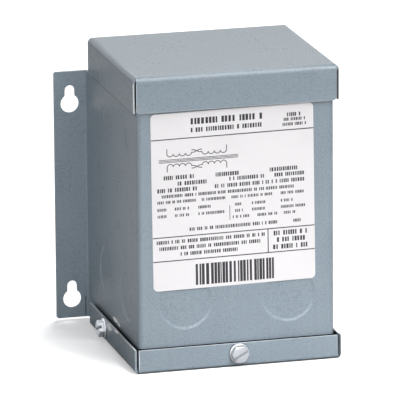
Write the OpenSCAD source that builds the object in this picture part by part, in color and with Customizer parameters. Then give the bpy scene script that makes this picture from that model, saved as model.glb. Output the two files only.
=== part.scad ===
// Small wall-mounted isolation transformer: a folded sheet case with mounting ears,
// a folded lid and bottom pan with open corners, round knockouts and a potted core and coil.
// Millimetres. +Z is up, the front faces -Y, and the origin is the bottom centre of the whole part.

/* [Sheet metal] */
// Thickness of the case and cover sheet
sheet_t = 0.9; // [0.7:0.05:1.1]
// Outside radius of the upright corners of the case
case_corner_r = 2.2; // [1.6:0.1:4]
// Outside radius of the folds of both covers
cover_bend_r = 1.8; // [1.3:0.1:2.4]

/* [Case] */
// Outside width of the case
case_w = 84; // [80:0.5:100]
// Outside depth of the case, front wall to back panel
case_d = 75; // [70:0.5:95]
// Height of the whole part, covers included
total_h = 125.2; // [120:0.2:150]
// Gap between the back panel's side flanges and the rear knockouts
panel_flange_gap = 1.15; // [0.5:0.05:5]

/* [Mounting ears] */
// Width of an ear beyond the side wall
ear_w = 14.2; // [12.5:0.1:20]
// Drop from the lid's lower edge to the top of the ears
ear_top_gap = 1.5; // [0.5:0.1:6]
// Air gap from the back panel to the wall that the ears bolt to
wall_gap = 12.6; // [8:0.1:20]
// Inside radius of the fold between side wall and ear
ear_fold_r = 0.8; // [0.4:0.1:2]
// Radius of the outer corners of the ears
ear_corner_r = 1.2; // [0.5:0.1:3]

/* [Keyholes] */
// Distance from the side wall out to the keyholes' centres
key_out = 7.25; // [6.5:0.05:8]
// Height of the lower keyholes' round openings
key_low_z = 9.3; // [7:0.1:12]
// Drop from the top of the ears to the upper keyholes' round openings
key_top_drop = 14.1; // [12:0.1:40]
// Diameter of the round opening
key_head_d = 7.9; // [6.5:0.1:8.5]
// Width of the slot above it
key_slot_w = 4.2; // [3:0.1:5]
// Rise from the round opening to the end of the slot
key_slot_rise = 5.8; // [4.8:0.1:7]

/* [Covers] */
// Depth of the lid's skirts
lid_skirt_h = 14.6; // [10:0.2:15]
// Clearance between the case and the lid's skirts
lid_gap = 0.95; // [0.6:0.05:1.5]
// Set-in of the lid's front and back skirts from its sides
lid_corner_inset = 1.2; // [1:0.1:2]
// Height of the bottom pan's skirts
pan_skirt_h = 10.2; // [9.8:0.2:14]
// Clearance between the case and the pan's skirts
pan_gap = 1.45; // [1:0.05:2]
// Set-in of the pan's front skirt from its sides
pan_corner_inset = 1.5; // [1.2:0.1:2]
// How far the pan is screwed on forward of its middle position
pan_forward = 0.45; // [0:0.05:0.8]
// Gap between a side skirt's end and the skirt across it
corner_gap = 0.1; // [0.05:0.05:0.4]
// Side of the clipped lower corners of the lid's front and back skirts
skirt_clip = 1.3; // [0.6:0.1:2]
// Clearance between the pan's back skirt and the side walls
back_skirt_gap = 0.5; // [0.3:0.1:1.5]

/* [Knockouts] */
// Diameter of a knockout, the half-inch conduit size
knockout_d = 22.2; // [18:0.1:24]
// Width of the sheared ring round the disc
knockout_gap = 0.12; // [0.1:0.01:0.5]
// How far the disc is pushed in from the wall's face
knockout_set_in = 0.55; // [0.2:0.05:0.6]
// Width of the two tabs that hold the disc
knockout_tab_w = 2.5; // [1:0.1:4]
// Turn of the tabs, in degrees
knockout_tab_turn = 45; // [0:5:180]
// Height of the knockout centres
knockout_z = 28.7; // [25:0.1:33]
// Set-in of the front knockouts' centres from the sides of the case
front_knockout_set_in = 19.9; // [16:0.1:26]
// Distance between the two knockouts of a side, as a share of the case's depth
side_knockout_share = 0.46; // [0.36:0.005:0.5]

/* [Dimples] */
// Diameter of the dimples pressed into the side walls
dimple_d = 10; // [6:0.2:12]
// Depth of the dimples
dimple_depth = 0.6; // [0.3:0.05:0.8]
// Slope width of a dimple's rim
dimple_rim = 1.2; // [0.6:0.1:2]
// Drop from the lid's lower edge to the dimples
dimple_drop = 14.3; // [8:0.1:20]
// Distance between the two dimples of a side, as a share of the case's depth
dimple_share = 0.49; // [0.3:0.005:0.6]
// How far the dimples sit forward of the middle of the case
dimple_forward = 2.4; // [-4:0.1:4]

/* [Cover screws] */
// Height of the screws of the bottom pan
screw_z = 5.8; // [5.6:0.1:6]
// How far the side screws sit behind the middle of the case
side_screw_back = 12.5; // [-15:0.5:20]
// Diameter of the screw's washer face
washer_d = 8.4; // [7:0.1:8.6]
// Thickness of the washer face
washer_t = 0.8; // [0.5:0.1:1.2]
// Hexagon across its flats
hex_af = 6.35; // [5:0.05:6.6]
// Height of the hexagon above the washer face
hex_h = 2.4; // [1.6:0.1:3]
// Width of the driver slot
drive_slot_w = 1.2; // [0.8:0.1:1.6]
// Depth of the driver slot
drive_slot_depth = 1.2; // [0.6:0.1:1.5]
// Diameter of the screw's shank
shank_d = 3.9; // [3:0.1:4.4]
// Length of the screw's shank
shank_len = 8; // [5:0.5:12]
// Radial clearance of the shank in the pan and the case
shank_gap = 0.2; // [0.1:0.05:0.4]

/* [Nameplate] */
// Margin of the case left of the nameplate
plate_left_gap = 5.9; // [4:0.1:16]
// Margin of the case right of the nameplate
plate_right_gap = 8.7; // [4:0.1:16]
// Margin between the nameplate and the lid's lower edge
plate_top_gap = 0.8; // [0.6:0.1:10]
// Height of the nameplate's lower edge
plate_bottom_z = 34.6; // [14:0.1:60]
// Thickness of the nameplate
plate_t = 0.2; // [0.1:0.05:0.4]
// Corner radius of the nameplate
plate_corner_r = 2; // [0.5:0.1:4]
// Tilt of the nameplate, in degrees
plate_tilt = 0.6; // [-0.6:0.1:0.6]

/* [Core and coil] */
// Air above the resin, up to the lid; the wiring compartment below takes the rest
head_room = 17.4; // [4:0.2:24]
// Thickness of the resin below the core
resin_under = 6; // [3:0.5:12]
// Thickness of the resin left and right of the core
resin_side = 7.05; // [5:0.05:12]
// Thickness of the resin before and behind the coil
resin_end = 8.5; // [4:0.5:12]
// Clearance between the resin block and the case's front and sides
resin_gap = 1.2; // [0.9:0.1:2]
// Wall of the winding bobbin
bobbin_t = 1; // [0.6:0.1:1.4]
// Clearance between the bobbin and the outer legs
bobbin_gap = 0.5; // [0.3:0.1:1]
// Set-back of the windings from the bobbin's flanges
winding_set_in = 0.8; // [0.4:0.1:1.5]
// Radius of the windings' outer corners
winding_r = 5; // [3:0.5:7]

/* [Hidden] */
$fn = 72;

// Overrun of every cut
cut = 1;
paint = "#98a3ad";
zinc = "#d6d9dd";
hex_sides = 6;
front_slot_turn = 40;
side_slot_turn = 55;
// Proportions of E and I laminations cut without waste, as shares of the core's width
core_h_share = 5 / 6;
leg_share = 1 / 3;
yoke_share = 1 / 6;

// The covers' folds stay clear of the case's edges
bend_r = min(cover_bend_r, lid_gap + sheet_t);

// Depth, front to back: screw head, pan skirt, case, air gap
head_h = washer_t + hex_h;
pan_lead = sheet_t + pan_gap + pan_forward;
total_d = head_h + pan_lead + case_d + wall_gap;
case_front = -total_d / 2 + head_h + pan_lead;
case_back = case_front + case_d;
case_mid = (case_front + case_back) / 2;
mount_y = case_back + wall_gap;
pan_front = case_front - pan_lead;

// Widths and heights that several pieces share
wall_x = case_w / 2;
inner_x = wall_x - sheet_t;
ear_x = wall_x + ear_w;
floor_z = sheet_t;
lid_under_z = total_h - sheet_t;
wall_h = lid_under_z - floor_z;
lid_w = case_w + 2 * (lid_gap + sheet_t);
lid_d = case_d + 2 * (lid_gap + sheet_t);
pan_w = case_w + 2 * (pan_gap + sheet_t);
pan_d = case_d + 2 * (pan_gap + sheet_t);
pan_mid = case_mid - pan_forward;
side_screw_y = case_mid + side_screw_back;
lid_low_z = total_h - lid_skirt_h;

// What hangs from the lid's lower edge
ear_top_z = lid_low_z - ear_top_gap;
ear_h = ear_top_z - floor_z;
key_x = wall_x + key_out;
key_span_z = ear_top_z - key_top_drop - key_low_z;
side_knockout_span = case_d * side_knockout_share;
panel_flange_d = (case_d - side_knockout_span - knockout_d) / 2 - panel_flange_gap;
dimple_span = case_d * dimple_share;
dimple_y = case_mid - dimple_forward;
dimple_z = lid_low_z - dimple_drop;
front_knockout_x = wall_x - front_knockout_set_in;
plate_w = case_w - plate_left_gap - plate_right_gap;
plate_h = lid_low_z - plate_top_gap - plate_bottom_z;
plate_x = (plate_left_gap - plate_right_gap) / 2;

// Resin, core and coil
panel_inner_y = case_back - sheet_t;
resin_x = inner_x - sheet_t - (resin_gap - sheet_t) / 2;
resin_front = case_front + sheet_t + resin_gap;
resin_top_z = lid_under_z - head_room;
core_w = 2 * (resin_x - resin_side);
core_h = core_w * core_h_share;
core_leg_w = core_w * leg_share;
core_yoke = core_w * yoke_share;
window_w = (core_w - core_leg_w) / 2 - core_yoke;
window_h = core_h - 2 * core_yoke;
flange_out = window_w - bobbin_gap;
core_stack = panel_inner_y - resin_front - 2 * (resin_end + flange_out);
core_y = (resin_front + panel_inner_y) / 2;
core_z = resin_top_z - core_h / 2;
resin_low_z = resin_top_z - core_h - resin_under;
winding_out = flange_out - winding_set_in;
coil_w = core_leg_w + 2 * flange_out;
coil_d = core_stack + 2 * flange_out;
chamber_h = (window_h - 3 * bobbin_t) / 2;

module along_x(from, to) {
    translate([from, 0, 0])
        rotate([90, 0, 90])
            linear_extrude(to - from)
                children();
}

module along_y(from, to) {
    translate([0, to, 0])
        rotate([90, 0, 0])
            linear_extrude(to - from)
                children();
}

module mirror_pair() {
    for (flip = [0, 1])
        mirror([flip, 0, 0])
            children();
}

// A block with two rounded corners at its far end
module cap_outline(w, h, r) {
    translate([-w / 2, 0])
        square([w, h - r]);
    translate([-w / 2 + r, 0])
        square([w - 2 * r, h]);
    for (side = [-1, 1])
        translate([side * (w / 2 - r), h - r])
            circle(r);
}

// The same block as folded sheet: an end and two legs
module folded_section(w, h, r) {
    difference() {
        cap_outline(w, h, r);
        translate([0, -cut])
            cap_outline(w - 2 * sheet_t, h - sheet_t + cut, r - sheet_t);
    }
}

// What lies between a square corner and an arc of radius r
module corner_fill(r) {
    difference() {
        square(r);
        translate([r, 0])
            circle(r);
    }
}

module round_rect(w, h, r) {
    square([w - 2 * r, h], center = true);
    square([w, h - 2 * r], center = true);
    for (sx = [-1, 1], sy = [-1, 1])
        translate([sx * (w / 2 - r), sy * (h / 2 - r)])
            circle(r);
}

// One end of a cover: half of the fold across its depth
module cover_end(d, h, half_w) {
    along_x(-half_w, half_w)
        intersection() {
            folded_section(d, h, bend_r);
            translate([-d / 2 - cut, -cut])
                square([d / 2 + cut, h + 2 * cut]);
        }
}

// A folded cover, open end down, with its skirts' corners left open
module folded_cover(w, d, h, front_half, back_half) {
    side_end = d / 2 - sheet_t - corner_gap;
    along_y(-side_end, side_end)
        folded_section(w, h, bend_r);
    cover_end(d, h, front_half);
    mirror([0, 1, 0])
        cover_end(d, h, back_half);
}

// Slotted hexagon screw with a washer face, seated on z = 0 with its head up
module hex_screw(slot_turn) {
    color(zinc)
        difference() {
            union() {
                cylinder(h = washer_t, d = washer_d);
                cylinder(h = head_h, d = hex_af / cos(180 / hex_sides), $fn = hex_sides);
                translate([0, 0, -shank_len])
                    cylinder(h = shank_len, d = shank_d);
            }
            rotate([0, 0, slot_turn])
                translate([-washer_d / 2, -drive_slot_w / 2, head_h - drive_slot_depth])
                    cube([washer_d, drive_slot_w, drive_slot_depth + cut]);
        }
}

module shank_hole(gap) {
    translate([0, 0, -shank_len])
        cylinder(h = 2 * shank_len, d = shank_d + 2 * gap);
}

// Places of the pan's three screws, with the screw's head outward
module at_front_screw() {
    translate([0, pan_front, screw_z])
        rotate([90, 0, 0])
            children();
}

module at_left_screw() {
    translate([-pan_w / 2, side_screw_y, screw_z])
        rotate([0, -90, 0])
            children();
}

module screw_holes(gap) {
    at_front_screw()
        shank_hole(gap);
    mirror_pair()
        at_left_screw()
            shank_hole(gap);
}

// A disc pushed in from the wall's face and still held in its hole by two tabs
module knockout_disc() {
    color(paint)
        translate([0, 0, knockout_set_in])
            intersection() {
                cylinder(h = sheet_t, d = knockout_d);
                union() {
                    cylinder(h = sheet_t, d = knockout_d - 2 * knockout_gap);
                    rotate([0, 0, -knockout_tab_turn])
                        translate([-knockout_d / 2, -knockout_tab_w / 2, 0])
                            cube([knockout_d, knockout_tab_w, sheet_t]);
                }
            }
}

module knockout_hole() {
    translate([0, 0, -cut])
        cylinder(h = sheet_t + 2 * cut, d = knockout_d);
}

module at_front_knockout(side) {
    translate([side * front_knockout_x, case_front, knockout_z])
        rotate([-90, 0, 0])
            children();
}

module at_left_knockout(side) {
    translate([-wall_x, case_mid + side * side_knockout_span / 2, knockout_z])
        rotate([0, 90, 0])
            children();
}

// Round opening below, slot above, cut through the ear
module keyhole() {
    rotate([90, 0, 0])
        cylinder(h = 2 * (sheet_t + cut), d = key_head_d, center = true);
    translate([0, 0, key_slot_rise])
        rotate([90, 0, 0])
            cylinder(h = 2 * (sheet_t + cut), d = key_slot_w, center = true);
    translate([-key_slot_w / 2, -sheet_t - cut, 0])
        cube([key_slot_w, 2 * (sheet_t + cut), key_slot_rise]);
}

module keyholes() {
    for (side = [-1, 1], level = [0, 1])
        translate([side * key_x, mount_y, key_low_z + level * key_span_z])
            keyhole();
}

// A shallow cup pressed inward; at the wall's outer face when set_in is zero
module dimples(set_in) {
    for (side = [-1, 1])
        mirror_pair()
            translate([-wall_x + set_in, dimple_y + side * dimple_span / 2, dimple_z])
                rotate([0, 90, 0])
                    cylinder(h = dimple_depth, d1 = dimple_d, d2 = dimple_d - 2 * dimple_rim);
}

// Plan of the walls that reach up into the lid
module wall_plan() {
    translate([0, case_back])
        mirror([0, 1])
            folded_section(case_w, case_d, case_corner_r);
}

// Plan of the lower part: the side walls run on to the ears
module ear_plan() {
    difference() {
        union() {
            translate([0, mount_y])
                mirror([0, 1])
                    folded_section(case_w, case_d + wall_gap, case_corner_r);
            for (flip = [0, 1])
                mirror([flip, 0])
                    ear_leg();
        }
        for (flip = [0, 1])
            mirror([flip, 0])
                translate([inner_x, mount_y - ear_fold_r - sheet_t])
                    corner_fill(ear_fold_r + sheet_t);
    }
}

module ear_leg() {
    translate([inner_x, mount_y - sheet_t])
        square([ear_x - inner_x, sheet_t]);
    translate([wall_x, mount_y - sheet_t - ear_fold_r])
        corner_fill(ear_fold_r);
}

// What is cut off the four outer corners of the ears
module ear_corners() {
    mirror_pair()
        along_y(mount_y - sheet_t - cut, mount_y + cut) {
            translate([ear_x, floor_z + ear_corner_r])
                rotate(180)
                    corner_fill(ear_corner_r);
            translate([ear_x, ear_top_z - ear_corner_r])
                mirror([1, 0])
                    corner_fill(ear_corner_r);
        }
}

module case_wrap() {
    color(paint)
        difference() {
            union() {
                translate([0, 0, floor_z])
                    linear_extrude(ear_h)
                        ear_plan();
                translate([0, 0, floor_z])
                    linear_extrude(wall_h)
                        wall_plan();
                dimples(sheet_t);
            }
            dimples(0);
            ear_corners();
            keyholes();
            screw_holes(shank_gap);
            for (side = [-1, 1]) {
                at_front_knockout(side)
                    knockout_hole();
                mirror_pair()
                    at_left_knockout(side)
                        knockout_hole();
            }
        }
}

module back_panel() {
    color(paint)
        translate([0, 0, floor_z])
            linear_extrude(wall_h)
                translate([0, case_back - panel_flange_d])
                    folded_section(2 * inner_x, panel_flange_d, bend_r);
}

module top_cover() {
    front_half = lid_w / 2 - lid_corner_inset;
    color(paint)
        difference() {
            translate([0, case_mid, lid_low_z])
                folded_cover(lid_w, lid_d, lid_skirt_h, front_half, front_half);
            for (sx = [-1, 1], sy = [-1, 1])
                translate([sx * front_half, case_mid + sy * lid_d / 2, lid_low_z])
                    rotate([0, 45, 0])
                        cube([skirt_clip, 2 * sheet_t, skirt_clip], center = true);
        }
}

module bottom_cover() {
    color(paint)
        difference() {
            translate([0, pan_mid, pan_skirt_h])
                mirror([0, 0, 1])
                    folded_cover(
                        pan_w, pan_d, pan_skirt_h,
                        pan_w / 2 - pan_corner_inset, inner_x - back_skirt_gap
                    );
            screw_holes(2 * shank_gap);
        }
}

module front_cover_screw() {
    at_front_screw()
        hex_screw(front_slot_turn);
}

module left_cover_screw() {
    at_left_screw()
        hex_screw(side_slot_turn);
}

module right_cover_screw() {
    mirror([1, 0, 0])
        left_cover_screw();
}

module front_left_knockout() {
    at_front_knockout(-1)
        knockout_disc();
}

module front_right_knockout() {
    at_front_knockout(1)
        knockout_disc();
}

module left_front_knockout() {
    at_left_knockout(-1)
        knockout_disc();
}

module left_rear_knockout() {
    at_left_knockout(1)
        knockout_disc();
}

module right_front_knockout() {
    mirror([1, 0, 0])
        left_front_knockout();
}

module right_rear_knockout() {
    mirror([1, 0, 0])
        left_rear_knockout();
}

module nameplate() {
    color("#f0eef0")
        translate([plate_x, case_front, plate_bottom_z + plate_h / 2])
            rotate([0, -plate_tilt, 0])
                rotate([90, 0, 0])
                    linear_extrude(plate_t)
                        round_rect(plate_w, plate_h, plate_corner_r);
}

// Potting up to the top of the core, with the pocket that core and coil stand in
module resin_fill() {
    color("#4a4640")
        difference() {
            translate([-resin_x, resin_front, resin_low_z])
                cube([2 * resin_x, panel_inner_y - resin_front, resin_top_z - resin_low_z]);
            translate([-core_w / 2, core_y - core_stack / 2, core_z - core_h / 2])
                cube([core_w, core_stack, core_h + cut]);
            translate([0, core_y, core_z])
                cube([coil_w, coil_d, window_h], center = true);
        }
}

module laminated_core() {
    color("#7d8288")
        translate([0, core_y, core_z])
            difference() {
                cube([core_w, core_stack, core_h], center = true);
                for (side = [-1, 1])
                    translate([side * (core_leg_w + window_w) / 2, 0, 0])
                        cube([window_w, core_stack + cut, window_h], center = true);
            }
}

// A ring round the core's middle leg, reaching from in to out beyond the leg
module leg_ring(z, h, in, out, r) {
    translate([0, core_y, z])
        linear_extrude(h)
            difference() {
                round_rect(core_leg_w + 2 * out, core_stack + 2 * out, r);
                square([core_leg_w + 2 * in, core_stack + 2 * in], center = true);
            }
}

module winding_bobbin() {
    low_z = core_z - window_h / 2;
    color("#d8d2b8") {
        leg_ring(low_z, window_h, 0, bobbin_t, bobbin_t / 2);
        for (step = [0, 1, 2])
            leg_ring(low_z + step * (chamber_h + bobbin_t), bobbin_t, 0, flange_out, bobbin_t / 2);
    }
}

module winding(step) {
    color("#b8744a")
        leg_ring(
            core_z - window_h / 2 + bobbin_t + step * (chamber_h + bobbin_t),
            chamber_h, bobbin_t, winding_out, winding_r
        );
}

module primary_winding() {
    winding(0);
}

module secondary_winding() {
    winding(1);
}

case_wrap();
back_panel();
top_cover();
bottom_cover();
front_cover_screw();
left_cover_screw();
right_cover_screw();
front_left_knockout();
front_right_knockout();
left_front_knockout();
left_rear_knockout();
right_front_knockout();
right_rear_knockout();
nameplate();
resin_fill();
laminated_core();
winding_bobbin();
primary_winding();
secondary_winding();
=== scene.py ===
"""Looks of a small wall-mounted isolation transformer, built round its packed CAD part."""

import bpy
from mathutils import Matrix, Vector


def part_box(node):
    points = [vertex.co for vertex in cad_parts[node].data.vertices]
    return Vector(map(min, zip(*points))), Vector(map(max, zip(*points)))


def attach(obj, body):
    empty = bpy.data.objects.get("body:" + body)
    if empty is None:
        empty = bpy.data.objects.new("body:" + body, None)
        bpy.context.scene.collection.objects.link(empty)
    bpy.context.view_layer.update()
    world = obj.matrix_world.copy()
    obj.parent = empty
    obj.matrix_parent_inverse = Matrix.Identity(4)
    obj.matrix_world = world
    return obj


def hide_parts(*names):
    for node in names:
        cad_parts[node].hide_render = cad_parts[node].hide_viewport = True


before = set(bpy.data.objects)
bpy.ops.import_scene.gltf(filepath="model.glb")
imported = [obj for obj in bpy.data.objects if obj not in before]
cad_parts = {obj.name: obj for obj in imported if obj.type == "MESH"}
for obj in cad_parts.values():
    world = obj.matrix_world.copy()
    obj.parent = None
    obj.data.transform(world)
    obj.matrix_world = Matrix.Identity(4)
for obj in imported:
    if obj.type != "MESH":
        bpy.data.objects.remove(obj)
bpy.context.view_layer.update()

import math

import bmesh
import bpy
from bpy.props import FloatProperty, FloatVectorProperty, IntProperty, PointerProperty
from mathutils import Matrix, Vector

bl_info = {
    "name": "Isolation Transformer Looks",
    "version": (1, 0, 0),
    "blender": (4, 5, 0),
    "location": "View3D > Sidebar > Transformer",
    "description": "Finishes the sheet case, covers, screws, nameplate and coil of a small transformer",
    "category": "Object",
}

MM = 0.001
BODY = "root"

WALL_LOW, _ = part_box("case_wrap")
PAN_LOW, PAN_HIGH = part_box("bottom_cover")
LID_LOW, LID_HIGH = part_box("top_cover")
PLATE_LOW, PLATE_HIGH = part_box("nameplate")
EAR_REACH = 14.2 * MM
WALL_X = -WALL_LOW.x - EAR_REACH
DISC_GAP = 0.12 * MM

# The lid: how far its front and side skirts stop short of the corners, its clipped corners and its sheet
LID_END = 1.2 * MM
LID_SIDE_END = 1.0 * MM
LID_CLIP = 0.92 * MM
LID_SHEET = 0.75 * MM

# Painted shade round a screw: its radius and its soft edge
SHADE_RING = 4.65 * MM
SHADE_FADE = 0.35 * MM

# Margins of the painted light and shade, set by place: at a face, beside a face, and above the sheet of a
# cover
SKIN = 0.1 * MM
NEAR = 0.3 * MM
SHEET_UP = 1.2 * MM

FRONT_DISCS = ("front_left_knockout", "front_right_knockout")
SCREWS = ("front_cover_screw", "left_cover_screw", "right_cover_screw")
SIDE_DISCS = (
    "left_front_knockout", "left_rear_knockout",
    "right_front_knockout", "right_rear_knockout",
)


def length(label, text, default):
    """A size in metres that a user may change."""
    return FloatProperty(name=label, description=text, default=default, subtype="DISTANCE", unit="LENGTH")


def share(label, text, default):
    """A plain number from zero to one."""
    return FloatProperty(name=label, description=text, default=default, min=0, max=1, subtype="FACTOR")


def angle(label, text, degrees):
    """A turn, shown in degrees."""
    return FloatProperty(
        name=label, description=text, default=math.radians(degrees), subtype="ANGLE", unit="ROTATION"
    )


def tint(label, text, default):
    """A linear colour."""
    return FloatVectorProperty(
        name=label, description=text, default=default, size=3, min=0, max=1, subtype="COLOR"
    )


def power(label, text, default):
    """A lamp's power in watts."""
    return FloatProperty(name=label, description=text, default=default, min=0, subtype="POWER", unit="POWER")


class SheetSettings(bpy.types.PropertyGroup):
    """Painted sheet metal."""

    colour: tint("Paint", "Colour of the enamel on case and covers", (0.260, 0.316, 0.364))
    roughness: share("Roughness", "Roughness of the enamel", 0.32)
    edge_round: length("Edge rounding", "Rounding of cut sheet edges under the paint", 0.22 * MM)
    rim_ease: length(
        "Rim slope", "Width of the slope at the rim of a knockout, on disc and wall alike", 0.85 * MM
    )
    lid_bend: length("Lid bends", "Outer radius of the lid's bends", 2.8 * MM)
    lid_crown: length("Lid crown", "Rise of the lid's top over its CAD box", 0.7 * MM)
    peel_size: length("Peel size", "Size of the ripples in the sprayed enamel", 0.9 * MM)


class ScrewSettings(bpy.types.PropertyGroup):
    """Slotted hexagon screws with a washer face."""

    colour: tint("Zinc", "Colour of the plating", (0.72, 0.745, 0.79))
    washer: length("Washer face", "Diameter of the washer face", 8.4 * MM)
    washer_t: length("Washer thickness", "Thickness of the washer face", 0.8 * MM)
    flats: length("Across flats", "Hexagon across its flats", 6.35 * MM)
    height: length("Head height", "Height of the whole head", 3.2 * MM)
    slot_w: length("Slot width", "Width of the driver slot", 1.35 * MM)
    slot_depth: length("Slot depth", "Depth of the driver slot", 1.4 * MM)
    shank: length("Shank", "Diameter over the thread", 3.9 * MM)
    shank_l: length("Shank length", "Length of the thread under the head", 8 * MM)
    pitch: length("Pitch", "Pitch of the thread", 1.25 * MM)
    front_turn: angle("Front slot", "Turn of the front screw's slot", 29)
    head_turn: angle("Side heads", "Turn of the side screws' hexagons", 24)
    side_turn: angle("Side slots", "Turn of the side screws' slots", -62)


class PlateSettings(bpy.types.PropertyGroup):
    """White nameplate with plain printed rules and bars."""

    colour: tint("Film", "Colour of the plate", (0.845, 0.825, 0.84))
    ink: tint("Ink", "Colour of the print", (0.018, 0.018, 0.022))
    tilt: angle("Tilt", "Turn of the plate on the case", 0.6)
    ink_t: length("Ink thickness", "Thickness of the printed layer", 0.03 * MM)
    rule_t: length("Rule thickness", "Thickness of the printed rules", 0.42 * MM)
    seed: IntProperty(name="Seed", description="Picks the widths of the printed bars", default=11, min=0)


class CoilSettings(bpy.types.PropertyGroup):
    """Potted core and coil inside the case."""

    resin: tint("Resin", "Colour of the potting", (0.055, 0.050, 0.045))
    steel: tint("Laminations", "Colour of the core's edges", (0.20, 0.21, 0.23))
    bobbin: tint("Bobbin", "Colour of the moulded bobbin", (0.66, 0.62, 0.46))
    copper: tint("Wire", "Colour of the enamelled wire", (0.50, 0.17, 0.065))
    lamination: length("Lamination", "Thickness of one lamination", 0.5 * MM)
    wire: length("Wire diameter", "Diameter of the winding wire", 0.55 * MM)


class StageSettings(bpy.types.PropertyGroup):
    """Floor, lamps and camera."""

    floor: tint("Floor", "Colour of the floor", (0.90, 0.90, 0.90))
    glow: share("Floor glow", "How far the floor shows white by itself", 0.34)
    sky: share("Sky", "Level of the even light from all round", 0.025)
    front: power("Front lamp", "Large lamp beside the camera", 6.2)
    left: power("Left lamp", "Lamp on the left of the camera", 12.3)
    above: power("Strip lamp", "Tall lamp that leans over the front of the part", 11.0)
    behind: power("Back lamp", "Lamp above and behind the part", 4.1)
    side: power("Side lamp", "Lamp on the right", 1.2)
    pool: power("Pool lamp", "Small lamp that lights the floor in front", 0.21)
    wash: power("Floor lamp", "Lamp overhead that lights the floor alone", 16)
    glint: power("Glint lamp", "Lamp on the left that lights the side screws alone", 22)
    lens: FloatProperty(
        name="Lens", description="Focal length of the camera", default=508.3, subtype="DISTANCE_CAMERA"
    )


def operator(operation, swapped=False):
    """A method that adds one Math node for a Python operator."""
    def method(wire, other):
        pair = (other, wire) if swapped else (wire, other)
        return wire.maths(operation, *pair)
    return method


class Wire:
    """A socket of a node tree; Python maths on it adds Math nodes."""

    def __init__(self, tree, socket):
        self.tree = tree
        self.socket = socket

    def maths(self, operation, *values):
        return self.tree.node("ShaderNodeMath", {"operation": operation}, dict(enumerate(values)))

    def __abs__(self):
        return self.maths("ABSOLUTE", self)

    __add__, __radd__ = operator("ADD"), operator("ADD", True)
    __sub__, __rsub__ = operator("SUBTRACT"), operator("SUBTRACT", True)
    __mul__, __rmul__ = operator("MULTIPLY"), operator("MULTIPLY", True)
    __truediv__, __rtruediv__ = operator("DIVIDE"), operator("DIVIDE", True)
    __pow__, __mod__ = operator("POWER"), operator("FLOORED_MODULO")
    __gt__, __lt__ = operator("GREATER_THAN"), operator("LESS_THAN")


class Tree:
    """A node tree whose nodes are added by one method."""

    def __init__(self, nodes_of):
        self.data = nodes_of

    def node(self, kind, settings=None, sockets=None, output=0):
        made = self.data.nodes.new(kind)
        for key, value in (settings or {}).items():
            if key == "stops":
                self.set_stops(made.color_ramp, value)
            else:
                setattr(made, key, value)
        for key, value in (sockets or {}).items():
            socket = self.find(made.inputs, key)
            for one in value if isinstance(value, list) else [value]:
                if isinstance(one, Wire):
                    self.data.links.new(one.socket, socket)
                else:
                    socket.default_value = one
        if not made.outputs:
            return made
        return Wire(self, self.find(made.outputs, output))

    def clamp(self, value):
        """A value held between zero and one."""
        return self.node("ShaderNodeClamp", sockets={0: value})

    @staticmethod
    def find(sockets, key):
        """A socket by its place, its identifier or its name."""
        if isinstance(key, str):
            for socket in sockets:
                if socket.identifier == key:
                    return socket
        return sockets[key]

    @staticmethod
    def set_stops(ramp, stops):
        while len(ramp.elements) < len(stops):
            ramp.elements.new(1)
        for element, (place, level) in zip(ramp.elements, stops):
            element.position = place
            element.color = (level, level, level, 1)


class Finish(Tree):
    """A material on Object coordinates with one Principled shader."""

    def __init__(self, name):
        self.material = bpy.data.materials.new(name)
        self.material.use_nodes = True
        super().__init__(self.material.node_tree)
        self.data.nodes.clear()
        self.place = self.node("ShaderNodeTexCoord", output="Object")

    def axes(self):
        split = self.node("ShaderNodeSeparateXYZ", sockets={0: self.place}).socket.node
        return [Wire(self, socket) for socket in split.outputs]

    def stretched(self, scale):
        return self.node("ShaderNodeMapping", sockets={"Vector": self.place, "Scale": scale})

    def noise(self, scale, detail=2.0, at=None):
        sockets = {"Vector": at or self.place, "Scale": scale, "Detail": detail}
        return self.node("ShaderNodeTexNoise", sockets=sockets, output="Fac")

    def ramp(self, value, *stops):
        return self.node("ShaderNodeValToRGB", {"stops": stops}, {0: value}, "Color")

    def mix(self, factor, one, other):
        """Colours, mixed by a factor."""
        sockets = {"Factor_Float": factor, "A_Color": one, "B_Color": other}
        return self.node("ShaderNodeMix", {"data_type": "RGBA"}, sockets, "Result_Color")

    def bump(self, height, strength, distance):
        return self.node(
            "ShaderNodeBump", sockets={"Height": height, "Strength": strength, "Distance": distance}
        )

    def surface(self, **sockets):
        named = {key.replace("_", " ").title().replace("Ior", "IOR"): value for key, value in sockets.items()}
        shader = self.node("ShaderNodeBsdfPrincipled", sockets=named)
        self.node("ShaderNodeOutputMaterial", sockets={"Surface": shader})
        return self.material


def opaque(colour, level=1.0):
    """A colour property as four numbers, made lighter or darker."""
    return (*(min(1.0, part * level) for part in colour), 1.0)


def case_inside(x, y):
    """The case's own outline, with a little to spare, from its front to the lid's back skirt."""
    return (abs(x) < WALL_X + NEAR) * (y > WALL_LOW.y - NEAR) * (y < LID_HIGH.y - 1.0 * MM)


def gap_shade(x, y, z):
    """Faces between the covers and the case, painted black as painted shade in the gaps."""
    inside = case_inside(x, y)
    drop = SKIN + (abs(x) > WALL_X - SKIN) * 0.5 * MM
    pan_floor = z > PAN_LOW.z + SHEET_UP
    in_pan = inside * (z < PAN_HIGH.z - drop) * pan_floor
    in_lid = inside * (z > LID_LOW.z + 0.2 * MM) * (z < LID_HIGH.z - SHEET_UP)
    fold = (abs(x) > WALL_X + 1.2 * MM) * (abs(x) < WALL_X + 1.55 * MM)
    in_fold = fold * (z < PAN_HIGH.z - NEAR) * pan_floor * (y > PAN_LOW.y + 2 * MM)
    return in_pan + in_lid + in_fold


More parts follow.
